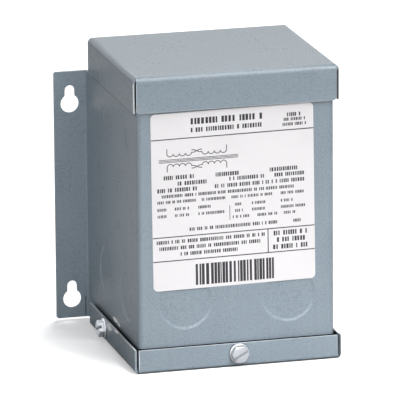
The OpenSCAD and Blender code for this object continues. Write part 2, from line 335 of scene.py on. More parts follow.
def pan_shade(finish, x, y, z):
    """Painted shade on the pan: a contact shadow round the screws' washer faces and shade on the end of its
    right skirt.
    """
    shade_mask = (x > WALL_X + 1.3 * MM) * (y < WALL_LOW.y - 1.62 * MM) * (z < PAN_HIGH.z - 0.35 * MM)
    for node in SCREWS:
        low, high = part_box(node)
        at = (low + high) / 2
        if node.startswith("front"):
            across, outer = x - at.x, y < PAN_LOW.y + NEAR
        else:
            across, outer = y - at.y, x * math.copysign(1, at.x) > PAN_HIGH.x - NEAR
        far = (across ** 2 + (z - at.z) ** 2) ** 0.5
        shade_mask = shade_mask + finish.clamp((SHADE_RING - far) / SHADE_FADE) * outer
    return shade_mask


def bare_spots(finish, x, y, z):
    """Chips in the paint, with ragged outlines."""
    warp = (finish.noise(900, 2) - 0.5) * 1.2 * MM
    chips = 0.0
    for at, size in CHIPS:
        far = ((x - at[0]) / size[0]) ** 2 + ((y - at[1] + warp) / size[1]) ** 2
        chips = chips + (far + ((z - at[2] + warp) / size[2]) ** 2 < 1)
    return finish.clamp(chips)


def enamel(settings):
    """Sprayed satin enamel: faint mottling, drawn-down streaks, ripples and a few chips, with painted shade
    in its gaps, round its screws and under the lid, and painted light on its cut edges.
    """
    finish = Finish("blue_grey_enamel")
    x, y, z = finish.axes()
    mottle = finish.noise(70, 3)
    grain = finish.noise(1400, 2)
    streak = finish.noise(1, 3, finish.stretched((420, 420, 16)))
    tone = 0.5 + (mottle - 0.5) * 0.9 + (streak - 0.5) * 0.8 + (grain - 0.5) * 3.2
    colour = finish.mix(tone, opaque(settings.colour, 0.93), opaque(settings.colour, 1.07))

    # Cut edges are painted light, partly thin worn paint and partly a painted highlight; at the right front
    # ends they are painted dark instead, as painted shade.
    edge = finish.node("ShaderNodeAttribute", {"attribute_name": "cut_edge"}, output="Fac")
    shaded = (x > WALL_X + 0.5 * MM) * (y < WALL_LOW.y - NEAR)
    edge_wear_highlight_and_shade = finish.mix(shaded, (0.72, 0.75, 0.78, 1), (0.05, 0.055, 0.06, 1))
    colour = finish.mix(edge * (0.6 + 0.4 * mottle), colour, edge_wear_highlight_and_shade)

    # Painted shadow of the lid: the side walls darken just below its skirts.
    lid_shadow = finish.clamp((z - LID_LOW.z + 2.7 * MM) / (0.7 * MM)) * case_inside(x, y)
    lid_shadow = lid_shadow * (abs(x) > WALL_X - SKIN) * (z < LID_LOW.z)
    colour = finish.mix(lid_shadow * 0.5, colour, opaque(settings.colour, 0.12))

    # Painted shade: darker where little open sky is seen nearby, in creases and gaps, and black on the hidden
    # faces between the covers and the case and round the screws.
    near = finish.node("ShaderNodeAmbientOcclusion", {"samples": 8}, {"Distance": 1.3 * MM}, "AO")
    crevice_shade = finish.ramp(near, (0.38, 1.0), (0.78, 0.0)) * (1 - edge)
    dark = gap_shade(x, y, z) + pan_shade(finish, x, y, z) * 0.75
    crevice_shade = crevice_shade.maths("MAXIMUM", crevice_shade, dark)
    colour = finish.mix(crevice_shade, colour, opaque(settings.colour, 0.04))

    # Chips are real wear; their plain white stands in for the glint of the bare metal, a painted highlight.
    chip = bare_spots(finish, x, y, z)
    colour = finish.mix(chip, colour, (1.0, 1.0, 1.0, 1))

    rough = settings.roughness + (mottle - 0.5) * 0.10 + (grain - 0.5) * 0.30 - chip * 0.1
    ripple = finish.noise(1 / settings.peel_size, 1.5)
    dust = finish.noise(3600, 1)
    normal = finish.bump(ripple + dust * 0.4 + grain * 0.3, 0.28, 0.06 * MM)
    raised = {"Factor_Float": chip, "A_Vector": normal, "B_Vector": CHIP_FACING}
    normal = finish.node("ShaderNodeMix", {"data_type": "VECTOR"}, raised, "Result_Vector")
    return finish.surface(base_color=colour, roughness=rough, normal=normal, ior=1.5)


def plating(settings):
    """Bright zinc: fine grain, cloudy sheen and painted shade in its hollows."""
    finish = Finish("bright_zinc")
    cloud = finish.noise(320, 3)
    grain = finish.noise(5200, 2)
    colour = finish.mix(cloud, opaque(settings.colour, 0.86), opaque(settings.colour, 1.1))
    colour = finish.mix((cloud > 0.62) * 0.2, colour, (0.72, 0.73, 0.70, 1))
    # Painted shade: darker where little open sky is seen, in the slot and round the hexagon.
    open_sky = finish.node("ShaderNodeAmbientOcclusion", {"samples": 8}, {"Distance": 1.0 * MM}, "AO")
    hollow_shade = finish.ramp(open_sky, (0.40, 1.0), (0.90, 0.0))
    colour = finish.mix(hollow_shade, colour, opaque(settings.colour, 0.12))
    rough = 0.24 + cloud * 0.16 + (grain - 0.5) * 0.08
    normal = finish.bump(grain + cloud * 0.6, 0.3, 0.06 * MM)
    return finish.surface(base_color=colour, roughness=rough, metallic=0.6, normal=normal)


def film(settings):
    """White plate film with a faint tooth and a little handling dirt."""
    finish = Finish("white_plate_film")
    smear = finish.noise(45, 3)
    tooth = finish.noise(2600, 2)
    colour = finish.mix(
        finish.ramp(smear, (0.42, 0.0), (0.75, 1.0)), opaque(settings.colour), opaque(settings.colour, 0.955)
    )
    colour = finish.mix((tooth - 0.5) * 0.5 + 0.2, colour, opaque(settings.colour, 0.97))
    rough = 0.40 + (smear - 0.5) * 0.12
    normal = finish.bump(tooth, 0.10, 0.03 * MM)
    return finish.surface(base_color=colour, roughness=rough, normal=normal, ior=1.46)


def ink(settings):
    """Black print with a slightly uneven lay-down."""
    finish = Finish("black_print")
    patch = finish.noise(1500, 2)
    colour = finish.mix(patch, opaque(settings.ink), opaque(settings.ink, 2.2))
    normal = finish.bump(patch, 0.1, 0.01 * MM)
    return finish.surface(base_color=colour, roughness=0.45 + (patch - 0.5) * 0.2, normal=normal)


def potting(settings):
    """Dark filled resin with sand grains and small bubbles."""
    finish = Finish("filled_resin")
    sand = finish.noise(2300, 2)
    bubble = finish.node(
        "ShaderNodeTexVoronoi", {"feature": "F1"}, {"Vector": finish.place, "Scale": 420.0}, "Distance"
    )
    pit = bubble < 0.16
    colour = finish.mix(sand, opaque(settings.resin, 0.7), opaque(settings.resin, 1.9))
    normal = finish.bump(sand * 0.4 - pit, 0.5, 0.2 * MM)
    return finish.surface(base_color=colour, roughness=0.55 + pit * 0.2, normal=normal)


def laminations(settings):
    """Varnished edges of the stacked steel."""
    finish = Finish("stacked_laminations")
    y = finish.axes()[1]
    across = (y / settings.lamination) % 1.0
    joint = (across < 0.14) * 1.0
    stain = finish.noise(160, 3)
    colour = finish.mix(stain, opaque(settings.steel, 0.75), opaque(settings.steel, 1.35))
    colour = finish.mix(finish.ramp(stain, (0.58, 0.0), (0.72, 0.7)), colour, (0.19, 0.085, 0.035, 1))
    colour = finish.mix(joint * 0.8, colour, (0.02, 0.02, 0.02, 1))
    normal = finish.bump(1 - joint, 0.5, 0.1 * MM)
    return finish.surface(base_color=colour, roughness=0.42 + stain * 0.2, metallic=0.7, normal=normal)


def nylon(settings):
    """Moulded bobbin plastic."""
    finish = Finish("bobbin_nylon")
    flow = finish.noise(1, 3, finish.stretched((60, 60, 260)))
    spark = finish.noise(1900, 1)
    colour = finish.mix(flow, opaque(settings.bobbin, 0.9), opaque(settings.bobbin, 1.08))
    normal = finish.bump(spark, 0.15, 0.05 * MM)
    return finish.surface(base_color=colour, roughness=0.5 + (flow - 0.5) * 0.15, normal=normal)


def winding_wire(settings):
    """Layers of enamelled wire."""
    finish = Finish("enamelled_wire")
    z = finish.axes()[2]
    turn = abs((z / settings.wire) % 1.0 - 0.5) * 2
    tone = finish.noise(1, 2, finish.stretched((20, 20, 1800)))
    colour = finish.mix(tone, opaque(settings.copper, 0.8), opaque(settings.copper, 1.25))
    # Painted shade: a dark line in the valley between turns.
    colour = finish.mix((turn > 0.86) * 0.8, colour, (0.05, 0.015, 0.008, 1))
    normal = finish.bump(1 - turn * turn, 0.7, 0.15 * MM)
    return finish.surface(base_color=colour, roughness=0.3 + tone * 0.12, metallic=0.6, normal=normal)


# Bare spots in the paint beside the left screw: centre and reach along each axis, and which way they face
CHIPS = (
    ((-42.0 * MM, -0.6 * MM, 11.8 * MM), (1.0 * MM, 4.4 * MM, 0.9 * MM)),
    ((-42.0 * MM, -6.8 * MM, 11.3 * MM), (1.0 * MM, 2.2 * MM, 0.6 * MM)),
    ((-44.3 * MM, -11.2 * MM, 10.0 * MM), (1.0 * MM, 3.0 * MM, 0.7 * MM)),
    ((-44.3 * MM, 1.0 * MM, 8.4 * MM), (1.0 * MM, 4.0 * MM, 0.9 * MM)),
)
CHIP_FACING = (-0.53, -0.80, 0.27)


def link(name, mesh):
    """A new object at the origin, in the scene."""
    made = bpy.data.objects.new(name, mesh)
    bpy.context.scene.collection.objects.link(made)
    return made


def settle(made, stands_for=()):
    """Seats a finished piece on the part's body."""
    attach(made, BODY)
    if stands_for:
        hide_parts(*stands_for)
    return made


def plain_mesh(made):
    """Applies an object's modifiers to its mesh."""
    graph = bpy.context.evaluated_depsgraph_get()
    mesh = bpy.data.meshes.new_from_object(made.evaluated_get(graph), depsgraph=graph)
    made.modifiers.clear()
    made.data = mesh
    return made


def weigh_normals(made):
    """Smooth shading that leaves flats flat."""
    for face in made.data.polygons:
        face.use_smooth = True
    made.data.set_sharp_from_angle(angle=math.radians(48))
    weighting = made.modifiers.new("flats", "WEIGHTED_NORMAL")
    weighting.keep_sharp = True
    return plain_mesh(made)


def round_edges(shape, edges, width, segments):
    """Rounds edges of a bmesh and returns the new faces."""
    return bmesh.ops.bevel(
        shape, geom=edges, offset=width, offset_type="OFFSET", segments=segments,
        profile=0.5, affect="EDGES", clamp_overlap=False, loop_slide=True,
    )["faces"]


def sharp_edges(shape, degrees=32):
    limit = math.radians(degrees)
    return [e for e in shape.edges if e.is_manifold and e.calc_face_angle() > limit]


def cut_face(face, sheet=1.05 * MM):
    """Whether a face is the narrow side of the sheet, between two sharp edges."""
    longest = max(edge.calc_length() for edge in face.edges)
    sides = [edge for edge in face.edges if edge.calc_length() > 0.6 * longest]
    narrow = face.calc_area() < sheet * longest
    return narrow and all(e.is_manifold and e.calc_face_angle() > math.radians(60) for e in sides)


def merged_copy(node):
    """A CAD node's triangles, merged into plain faces."""
    shape = bmesh.new()
    shape.from_mesh(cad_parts[node].data)
    bmesh.ops.remove_doubles(shape, verts=shape.verts, dist=0.002 * MM)
    bmesh.ops.dissolve_limit(
        shape, angle_limit=math.radians(0.4), use_dissolve_boundaries=False,
        verts=shape.verts, edges=shape.edges,
    )
    return shape


def folded_lid(sheet):
    """Outer skin of the lid: a flat top, four bends and four skirts, open at the corners."""
    low, high = (corner.copy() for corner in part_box("top_cover"))
    high.z += sheet.lid_crown
    middle, half = (low + high) / 2, (high - low) / 2
    bend, tall = sheet.lid_bend, high.z - low.z
    start = math.asin(1 - LID_END / bend)
    mitred, free = 4, 8
    turns = [start * n / mitred for n in range(mitred + 1)]
    turns += [start + (math.pi / 2 - start) * n / free for n in range(1, free + 1)]
    rows = [(bend * (1 - math.sin(turn)), bend * (1 - math.cos(turn))) for turn in turns]
    shape = bmesh.new()

    def face(points):
        corners = []
        for across, along, from_side, from_front, down in points:
            flat = middle.x + across * (half.x - from_side), middle.y + along * (half.y - from_front)
            corners.append(shape.verts.new((*flat, high.z - down)))
        shape.faces.new(corners)

    face([(i, j, bend, bend, 0.0) for i, j in ((-1, -1), (1, -1), (1, 1), (-1, 1))])
    for side in (-1, 1):
        long_ends = [(max(inset, LID_END), inset, down) for inset, down in rows]
        short_ends = [
            (inset, inset if n <= mitred else LID_SIDE_END, down) for n, (inset, down) in enumerate(rows)
        ]
        for one, two in zip(long_ends, long_ends[1:]):
            face([(-1, side, *one), (-1, side, *two), (1, side, *two), (1, side, *one)])
        for one, two in zip(short_ends, short_ends[1:]):
            face([(side, -1, *one), (side, -1, *two), (side, 1, *two), (side, 1, *one)])
        clipped = [(LID_END, 0.0, bend), (LID_END, 0.0, tall - LID_CLIP), (LID_END + LID_CLIP, 0.0, tall)]
        face([(-1, side, *end) for end in clipped] + [(1, side, *end) for end in reversed(clipped)])
        square = [(0.0, LID_SIDE_END, bend), (0.0, LID_SIDE_END, tall)]
        face([(side, -1, *end) for end in square] + [(side, 1, *end) for end in reversed(square)])
    bmesh.ops.remove_doubles(shape, verts=shape.verts, dist=0.002 * MM)
    bmesh.ops.recalc_face_normals(shape, faces=shape.faces)
    mesh = bpy.data.meshes.new("lid")
    shape.to_mesh(mesh)
    made = link("lid", mesh)
    if mesh.polygons[0].normal.z < 0:
        mesh.flip_normals()
    shell = made.modifiers.new("sheet", "SOLIDIFY")
    shell.thickness, shell.offset, shell.use_even_offset = LID_SHEET, -1, True
    plain_mesh(made)
    shape.clear()
    shape.from_mesh(made.data)
    bpy.data.objects.remove(made)
    return shape


def rounded_sheet(node, name, width, finish, rims=(), ease=0.0, shape=None):
    """A sheet piece with its cut edges rounded, in place of its CAD node."""
    shape = shape or merged_copy(node)
    for rim in rims:
        edges = [e for e in sharp_edges(shape) if all(rim.at_edge(v.co) for v in e.verts)]
        slope = {vert for face in round_edges(shape, edges, ease, 6) for vert in face.verts}
        for vert in slope:
            rim.press(vert.co, ease)
    mark = shape.faces.layers.float.new("cut_edge")
    for face in shape.faces:
        face[mark] = 0.9 * cut_face(face)
    edges = [
        e for e in sharp_edges(shape, 50)
        if e.calc_length() > 5 * width and not any(r.holds(v.co) for r in rims for v in e.verts)
    ]
    for face in round_edges(shape, edges, width, 3):
        face[mark] = 1.0
    mesh = bpy.data.meshes.new(name)
    shape.to_mesh(mesh)
    shape.free()
    mesh.materials.append(finish)
    return settle(weigh_normals(link(name, mesh)), [node])


SOCKETS = {
    "geometry": "NodeSocketGeometry",
    "length": "NodeSocketFloat",
    "count": "NodeSocketInt",
    "vector": "NodeSocketVector",
    "material": "NodeSocketMaterial",
}


class Builder(Tree):
    """A Geometry Nodes tree with named inputs, one mesh out."""

    def __init__(self, name, inputs):
        super().__init__(bpy.data.node_groups.new(name, "GeometryNodeTree"))
        face = self.data.interface
        face.new_socket(name="Geometry", in_out="OUTPUT", socket_type="NodeSocketGeometry")
        self.keys = {}
        for label, kind in inputs.items():
            item = face.new_socket(name=label, in_out="INPUT", socket_type=SOCKETS[kind])
            self.keys[label] = item.identifier
        self.given = self.data.nodes.new("NodeGroupInput")

    def value(self, label):
        return Wire(self, self.given.outputs[label])

    def vector(self, x=0.0, y=0.0, z=0.0):
        return self.node("ShaderNodeCombineXYZ", sockets={0: x, 1: y, 2: z})

    def moved(self, geometry, place=None, turn=None):
        sockets = {"Geometry": geometry}
        if place is not None:
            sockets["Translation"] = place
        if turn is not None:
            sockets["Rotation"] = turn
        return self.node("GeometryNodeTransform", sockets=sockets)

    def cylinder(self, corners, radius, depth):
        sockets = {"Vertices": corners, "Radius": radius, "Depth": depth}
        return self.node("GeometryNodeMeshCylinder", sockets=sockets)

    def cone(self, corners, top, bottom, depth):
        sockets = {"Vertices": corners, "Radius Top": top, "Radius Bottom": bottom, "Depth": depth}
        return self.node("GeometryNodeMeshCone", sockets=sockets)

    def grid(self, columns, rows):
        """A grid to roll up, with the angle round it and the share along it at each point."""
        sizes = {"Size X": 1.0, "Size Y": 1.0, "Vertices X": columns, "Vertices Y": rows}
        flat = self.node("GeometryNodeMeshGrid", sockets=sizes)
        place = self.node("GeometryNodeInputPosition")
        split = self.node("ShaderNodeSeparateXYZ", sockets={0: place}).socket.node
        around, along = (Wire(self, split.outputs[n]) + 0.5 for n in (0, 1))
        return flat, around * math.tau, along

    def rolled(self, flat, around, out, height, merge):
        """Rolls a grid up round the z axis and closes its seam and poles."""
        place = self.vector(out * around.maths("COSINE", around), out * around.maths("SINE", around), height)
        solid = self.node("GeometryNodeSetPosition", sockets={"Geometry": flat, "Position": place})
        return self.node("GeometryNodeMergeByDistance", sockets={"Geometry": solid, "Distance": merge})

    def boolean(self, operation, first, others):
        settings = {"operation": operation, "solver": "EXACT"}
        if operation == "DIFFERENCE":
            return self.node("GeometryNodeMeshBoolean", settings, {"Mesh 1": first, "Mesh 2": others})
        return self.node("GeometryNodeMeshBoolean", settings, {"Mesh 2": [first, *others]})

    def end(self, geometry, material):
        """Realises the result and gives it its finish."""
        real = self.node("GeometryNodeRealizeInstances", sockets={"Geometry": geometry})
        done = self.node("GeometryNodeSetMaterial", sockets={"Geometry": real, "Material": material})
        self.node("NodeGroupOutput", sockets={"Geometry": done})
        return self

    def mesh(self, name, values, start=None):
        """Runs the tree once and returns a plain mesh object at the origin."""
        made = link(name, start or bpy.data.meshes.new(name))
        modifier = made.modifiers.new("build", "NODES")
        modifier.node_group = self.data
        for label, value in values.items():
            modifier[self.keys[label]] = value
        plain_mesh(made)
        if not made.data.polygons:
            raise RuntimeError(name + " came out empty")
        return made


class Rim:
    """The hole of one knockout: where it is, how wide, and how deep its disc is pushed in."""

    near = 0.03 * MM

    def __init__(self, node):
        low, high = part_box(node)
        self.node = node
        self.middle = (low + high) / 2
        self.radius = (high.z - low.z) / 2 + DISC_GAP
        if node in FRONT_DISCS:
            self.across, self.wall, self.inward = 1, WALL_LOW.y, 1
            self.turn = (math.pi / 2, 0.0, 0.0)
        else:
            self.across, self.inward = 0, 1 if node.startswith("left") else -1
            self.wall = -WALL_X * self.inward
            self.turn = (0.0, -self.inward * math.pi / 2, 0.0)
        face = low if self.inward > 0 else high
        back = high if self.inward > 0 else low
        self.depth = abs(face[self.across] - self.wall)
        self.back = abs(back[self.across] - self.wall)
        self.middle[self.across] = self.wall

    def reach(self, point):
        """Distance of a point from the hole's axis."""
        flat = point - self.middle
        flat[self.across] = 0
        return flat.length

    def holds(self, point):
        """Whether a point is on the hole's edge or its wall."""
        return abs(self.reach(point) - self.radius) < self.near and (
            abs(point[self.across] - self.wall) < self.back
        )

    def at_edge(self, point):
        return self.holds(point) and abs(point[self.across] - self.wall) < self.near

    def press(self, point, ease):
        """Pushes a point of the wall in, along the slope that runs on to the disc."""
        part = (self.reach(point) - self.radius + ease) / (2 * ease)
        part = min(1.0, max(0.0, part))
        point[self.across] = self.wall + self.inward * self.depth * (1 - part * part * (3 - 2 * part))


RIMS = [Rim(node) for node in FRONT_DISCS + SIDE_DISCS]


def disc_builder():
    """Knockout disc with a sloped rim, pushed in from z = 0."""
    lengths = ("Radius", "Ease", "Depth", "Back")
    inputs = dict.fromkeys(lengths, "length")
    inputs.update({"Place": "vector", "Turn": "vector", "Finish": "material"})
    tree = Builder("knockout_disc", inputs)
    radius, ease, deep, back = (tree.value(label) for label in lengths)
    flat, around, along = tree.grid(97, 91)
    along = along * 3
    front = 1 - along.maths("MINIMUM", along, 1.0)
    out = radius * (1 - front * front)
    part = tree.clamp((out - radius + ease) / (2 * ease))
    sunk = deep * (1 - part * part * (3 - 2 * part))
    out = out * (1 - tree.clamp(along - 2))
    sunk = sunk + (back - sunk) * tree.clamp(along - 1)
    disc = tree.rolled(flat, around * -1, out, sunk * -1, 0.002 * MM)
    return tree.end(tree.moved(disc, tree.value("Place"), tree.value("Turn")), tree.value("Finish"))


class TRANSFORMER_OT_case(bpy.types.Operator):
    """Paints and rounds the case wrap, its back panel and its knockout discs"""

    bl_idname = "transformer.case"
    bl_label = "Case"

    def execute(self, context):
        sheet = context.scene.transformer_sheet
        paint = enamel(sheet)
        rounded_sheet(
            "case_wrap", "case_wrap_painted", sheet.edge_round, paint, RIMS, sheet.rim_ease
        )
        rounded_sheet("back_panel", "back_panel_painted", sheet.edge_round, paint)
        builder = disc_builder()
        for rim in RIMS:
            made = builder.mesh(rim.node + "_painted", {
                "Radius": rim.radius, "Ease": sheet.rim_ease, "Depth": rim.depth, "Back": rim.back,
                "Place": rim.middle, "Turn": rim.turn, "Finish": paint,
            })
            settle(weigh_normals(made), [rim.node])
        return {"FINISHED"}


class TRANSFORMER_OT_covers(bpy.types.Operator):
    """Paints and rounds the folded lid and the bottom pan"""

    bl_idname = "transformer.covers"
    bl_label = "Covers"

    def execute(self, context):
        sheet = context.scene.transformer_sheet
        paint = bpy.data.materials["blue_grey_enamel"]
        lid = folded_lid(sheet)
        rounded_sheet("top_cover", "lid_painted", sheet.edge_round, paint, shape=lid)
        rounded_sheet("bottom_cover", "pan_painted", sheet.edge_round, paint)
        return {"FINISHED"}


# Inputs of the screw's tree and the settings that feed them
SCREW_SIZES = {
    "Washer": "washer", "Washer Thickness": "washer_t", "Across Flats": "flats", "Head Height": "height",
    "Slot Width": "slot_w", "Slot Depth": "slot_depth", "Shank": "shank", "Shank Length": "shank_l",
    "Pitch": "pitch",
}


def screw_builder():
    """Slotted hexagon screw with a washer face, seated on z = 0 with its head up."""
    lengths = (*SCREW_SIZES, "Slot Turn", "Head Turn")
    inputs = dict.fromkeys(lengths, "length")
    inputs.update({"Place": "vector", "Turn": "vector", "Finish": "material"})
    tree = Builder("slotted_hex_screw", inputs)
    washer, thick, flats, height, slot_w, slot_depth, shank, reach, pitch, slot_turn, head_turn = (
        tree.value(label) for label in lengths
    )
    round_count, steep = 64, 1.7

    disc = tree.moved(tree.cylinder(round_count, washer / 2, thick * 3), tree.vector(z=thick * 1.5))
    crown = tree.cone(round_count, washer * 0.455, washer * 0.455 + thick * steep * 0.8, thick)
    washer_face = tree.boolean("INTERSECT", disc, [crown])

    prism = tree.moved(
        tree.cylinder(6, flats / math.sqrt(3), height * 2), tree.vector(z=height + thick * 0.2),
        tree.vector(z=head_turn),
    )
    bullet = tree.cone(round_count, flats * 0.465, flats * 0.465 + height * steep, height)
    hexagon = tree.boolean("INTERSECT", prism, [bullet])

    rows = 97
    flat, around, along = tree.grid(41, rows)
    depth = along * (reach + thick * 0.5)
    flank = abs((depth / pitch + around / math.tau) % 1.0 - 0.5) * 2
    taper = along.maths("MINIMUM", along * rows, (1 - along) * 9)
    taper = taper.maths("MINIMUM", taper, 1.0)
    radius = shank * (0.5 - flank * 0.11) * taper
    thread = tree.rolled(flat, around, radius, thick * 0.5 - depth, 0.004 * MM)
    thread = tree.node("GeometryNodeFlipFaces", sockets={"Mesh": thread})

    head = tree.boolean("UNION", washer_face, [hexagon])
    blade = tree.vector(washer * 1.2, slot_w, slot_depth * 2)
    bit = tree.node("GeometryNodeMeshCube", sockets={"Size": blade})
    bit = tree.moved(bit, tree.vector(z=height), tree.vector(z=slot_turn))
    head = tree.boolean("DIFFERENCE", head, [bit])
    head = tree.node("GeometryNodeMergeByDistance", sockets={"Geometry": head, "Distance": 0.01 * MM})
    whole = tree.node("GeometryNodeJoinGeometry", sockets={"Geometry": [head, thread]})
    return tree.end(tree.moved(whole, tree.value("Place"), tree.value("Turn")), tree.value("Finish"))


class TRANSFORMER_OT_screws(bpy.types.Operator):
    """Makes the three plated screws of the bottom pan"""

    bl_idname = "transformer.screws"
    bl_label = "Screws"

    def execute(self, context):
        screw = context.scene.transformer_screw
        zinc = plating(screw)
        builder = screw_builder()
        sizes = {label: getattr(screw, key) for label, key in SCREW_SIZES.items()}
        quarter = math.pi / 2
        seats = (
            (1, PAN_LOW.y, (quarter, 0.0, 0.0), screw.front_turn, 0.0),
            (0, PAN_LOW.x, (0.0, -quarter, 0.0), screw.side_turn, screw.head_turn),
            (0, PAN_HIGH.x, (0.0, quarter, 0.0), -screw.side_turn, -screw.head_turn),
        )
        for node, (across, face, turn, slot_turn, head_turn) in zip(SCREWS, seats):
            low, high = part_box(node)
            place = (low + high) / 2
            place[across] = face
            made = builder.mesh(node + "_plated", {
                **sizes, "Slot Turn": slot_turn, "Head Turn": head_turn,
                "Place": place, "Turn": turn, "Finish": zinc,
            })
            settle(weigh_normals(made), [node])
        return {"FINISHED"}


def row_builder():
    """Printed rows of upright bars in groups, from one point at the start of each row."""
    inputs = {
        "Rows": "geometry", "Bars": "count", "Steps": "count", "Widest": "length", "Space": "length",
        "Break": "length", "Thickness": "length", "Seed": "count", "Finish": "material",
    }
    tree = Builder("printed_rows", inputs)
    seed = tree.value("Seed")
    index = tree.node("GeometryNodeInputIndex")

    def stored(key, kind="FLOAT"):
        return tree.node("GeometryNodeInputNamedAttribute", {"data_type": kind}, {"Name": key})

    def chance(low, high, shift):
        return tree.node(
            "FunctionNodeRandomValue", {"data_type": "FLOAT"},
            {"Min_001": low, "Max_001": high, "ID": index, "Seed": seed + shift}, "Value_001",
        )

    points = tree.node(
        "GeometryNodeDuplicateElements", {"domain": "POINT"},
        {"Geometry": tree.value("Rows"), "Amount": tree.value("Bars")},
    )
    unit = stored("row_unit")
    width = unit * chance(0.24, tree.value("Widest"), 0)
    breaks = chance(0.0, 1.0, 1) > 0.83
    space = unit * (chance(0.13, tree.value("Space"), 2) + breaks * tree.value("Break"))
    before = tree.node(
        "GeometryNodeAccumulateField", {"data_type": "FLOAT"},
        {"Value": width + space, "Group ID": stored("row", "INT")}, "Trailing",
    )
    late = before + width > stored("row_length")
    shift = tree.vector(before + width / 2)
    size = tree.vector(width, tree.value("Thickness"), stored("row_height"))
    for key, field in (("bar_shift", shift), ("bar_size", size)):
        points = tree.node(
            "GeometryNodeStoreNamedAttribute", {"data_type": "FLOAT_VECTOR", "domain": "POINT"},
            {"Geometry": points, "Name": key, "Value": field},
        )
    points = tree.node(
        "GeometryNodeDeleteGeometry", {"domain": "POINT"}, {"Geometry": points, "Selection": late}
    )
    moved = stored("bar_shift", "FLOAT_VECTOR")
    points = tree.node("GeometryNodeSetPosition", sockets={"Geometry": points, "Offset": moved})
    bar = tree.node(
        "GeometryNodeMeshCube", sockets={"Size": (1, 1, 1), "Vertices Z": tree.value("Steps")}
    )
    shown = tree.node(
        "GeometryNodeInstanceOnPoints",
        sockets={"Points": points, "Instance": bar, "Scale": stored("bar_size", "FLOAT_VECTOR")},
    )
    return tree.end(shown, tree.value("Finish"))


def line_builder():
    """Printed lines of even width along the edges of a flat drawing."""
    inputs = {"Drawing": "geometry", "Width": "length", "Thickness": "length", "Finish": "material"}
    tree = Builder("printed_lines", inputs)
    path = tree.node("GeometryNodeMeshToCurve", sockets={"Mesh": tree.value("Drawing")})
    nib = tree.node(
        "GeometryNodeCurvePrimitiveQuadrilateral", {"mode": "RECTANGLE"},
        {"Width": tree.value("Thickness"), "Height": tree.value("Width")},
    )
    line = tree.node(
        "GeometryNodeCurveToMesh", sockets={"Curve": path, "Profile Curve": nib, "Fill Caps": True}
    )
    return tree.end(line, tree.value("Finish"))


# Printed rows in millimetres from the plate's middle: left end, right end, height of the middle, bar height
PRINT_ROWS = (
    (-17.6, 13.3, 33.6, 2.6), (-17.6, 13.3, 29.9, 1.9),
    (23.4, 29.7, 33.2, 1.6), (22.0, 31.2, 31.2, 1.3), (21.5, 32.2, 29.1, 1.3),
    (15.7, 28.1, 10.4, 1.7), (-29.5, -16.3, 10.4, 1.7), (-7.4, 2.8, 10.2, 1.7),
    (-1.6, 13.5, 8.0, 1.6), (17.7, 31.5, 8.0, 1.6), (-23.6, -11.0, 7.7, 1.7),
    (-32.3, -14.5, 5.1, 1.7), (-7.8, 31.7, 5.3, 1.6), (-30.5, 29.5, 2.6, 1.3),
    (-32.4, -15.9, 0.1, 1.2), (-13.5, -3.2, 0.1, 1.2), (-0.8, 16.9, 0.1, 1.2), (20.3, 30.8, 0.1, 1.2),
    (-32.4, -28.6, -3.0, 1.2), (-25.0, -18.8, -3.0, 1.2), (-15.0, -9.4, -3.0, 1.2),
    (0.7, 4.4, -3.1, 1.2), (7.9, 13.7, -3.1, 1.2), (20.3, 25.6, -3.1, 1.2),
    (-32.4, -28.6, -5.8, 1.2), (-25.0, -18.8, -5.8, 1.2), (-15.0, -3.8, -5.8, 1.2),
    (0.7, 4.4, -5.8, 1.2), (7.9, 13.7, -5.8, 1.2), (20.3, 31.2, -5.8, 1.2),
    (-0.4, 7.0, -8.4, 1.2), (10.2, 19.0, -8.4, 1.2), (21.5, 26.8, -8.4, 1.2),
    (-18.9, 18.9, -12.1, 1.4), (25.5, 29.2, -12.1, 1.3),
    (-33.0, 13.2, -16.9, 1.5), (-31.9, 11.8, -19.6, 1.5), (-22.9, 2.8, -22.3, 1.5),
    (17.0, 31.8, -16.9, 2.0), (18.4, 30.6, -19.8, 2.0), (16.7, 31.9, -22.8, 2.0),
)
BAR_PATTERN = ((-16.6, 17.4, -31.7, 9.0),)
BAR_UNIT = 1.4

# Rules in the same measure: both ends of each line
PRINT_RULES = (
    ((-34.6, 26.7), (34.6, 26.7)), ((-34.6, -14.8), (34.6, -14.8)), ((-34.6, -24.97), (34.6, -24.97)),
    ((14.59, -15.0), (14.6, -24.8)),
)
FINE_RULES = (
    ((-31.4, 18.05), (2.3, 18.05)), ((-31.4, 17.5), (2.3, 17.5)), ((-31.4, 16.95), (2.3, 16.95)),
    ((-1.61, -3.3), (-1.6, -9.6)),
)


def winding_lines(base, side, turns=4, pitch=2.6, hump=1.2, lead=2.1):
    """Drawn lines of two coils in series: their humps, the crossing between them and the leads."""
    lines = []
    left, right = -27.9, -13.0
    for start in (left, right):
        points = []
        for n in range(turns * 10 + 1):
            turn = math.pi * (n % 10) / 10
            middle = start + pitch * (n // 10 + 0.5)
            points.append((middle - pitch / 2 * math.cos(turn), base - side * hump * math.sin(turn)))
        lines.append(points)
    end = left + turns * pitch
    high = base + side * lead
    lines.append([(left, base), (left - 0.02, high)])
    lines.append([(right + turns * pitch, base), (right + turns * pitch + 0.02, high)])
    half_way = high * 0.5 + base * 0.5
    for one, two in ((base, half_way), (half_way, base)):
        lines.append([(end, one), (end + 1.0, one), (right - 1.0, two), (right, two)])
    return lines


def drawing(name, lines):
    """A mesh of edges along drawn lines, in metres."""
    points, edges = [], []
    for line in lines:
        edges += [(len(points) + n, len(points) + n + 1) for n in range(len(line) - 1)]
        points += [(u * MM, 0.0, w * MM) for u, w in line]
    mesh = bpy.data.meshes.new(name)
    mesh.from_pydata(points, edges, [])
    return mesh


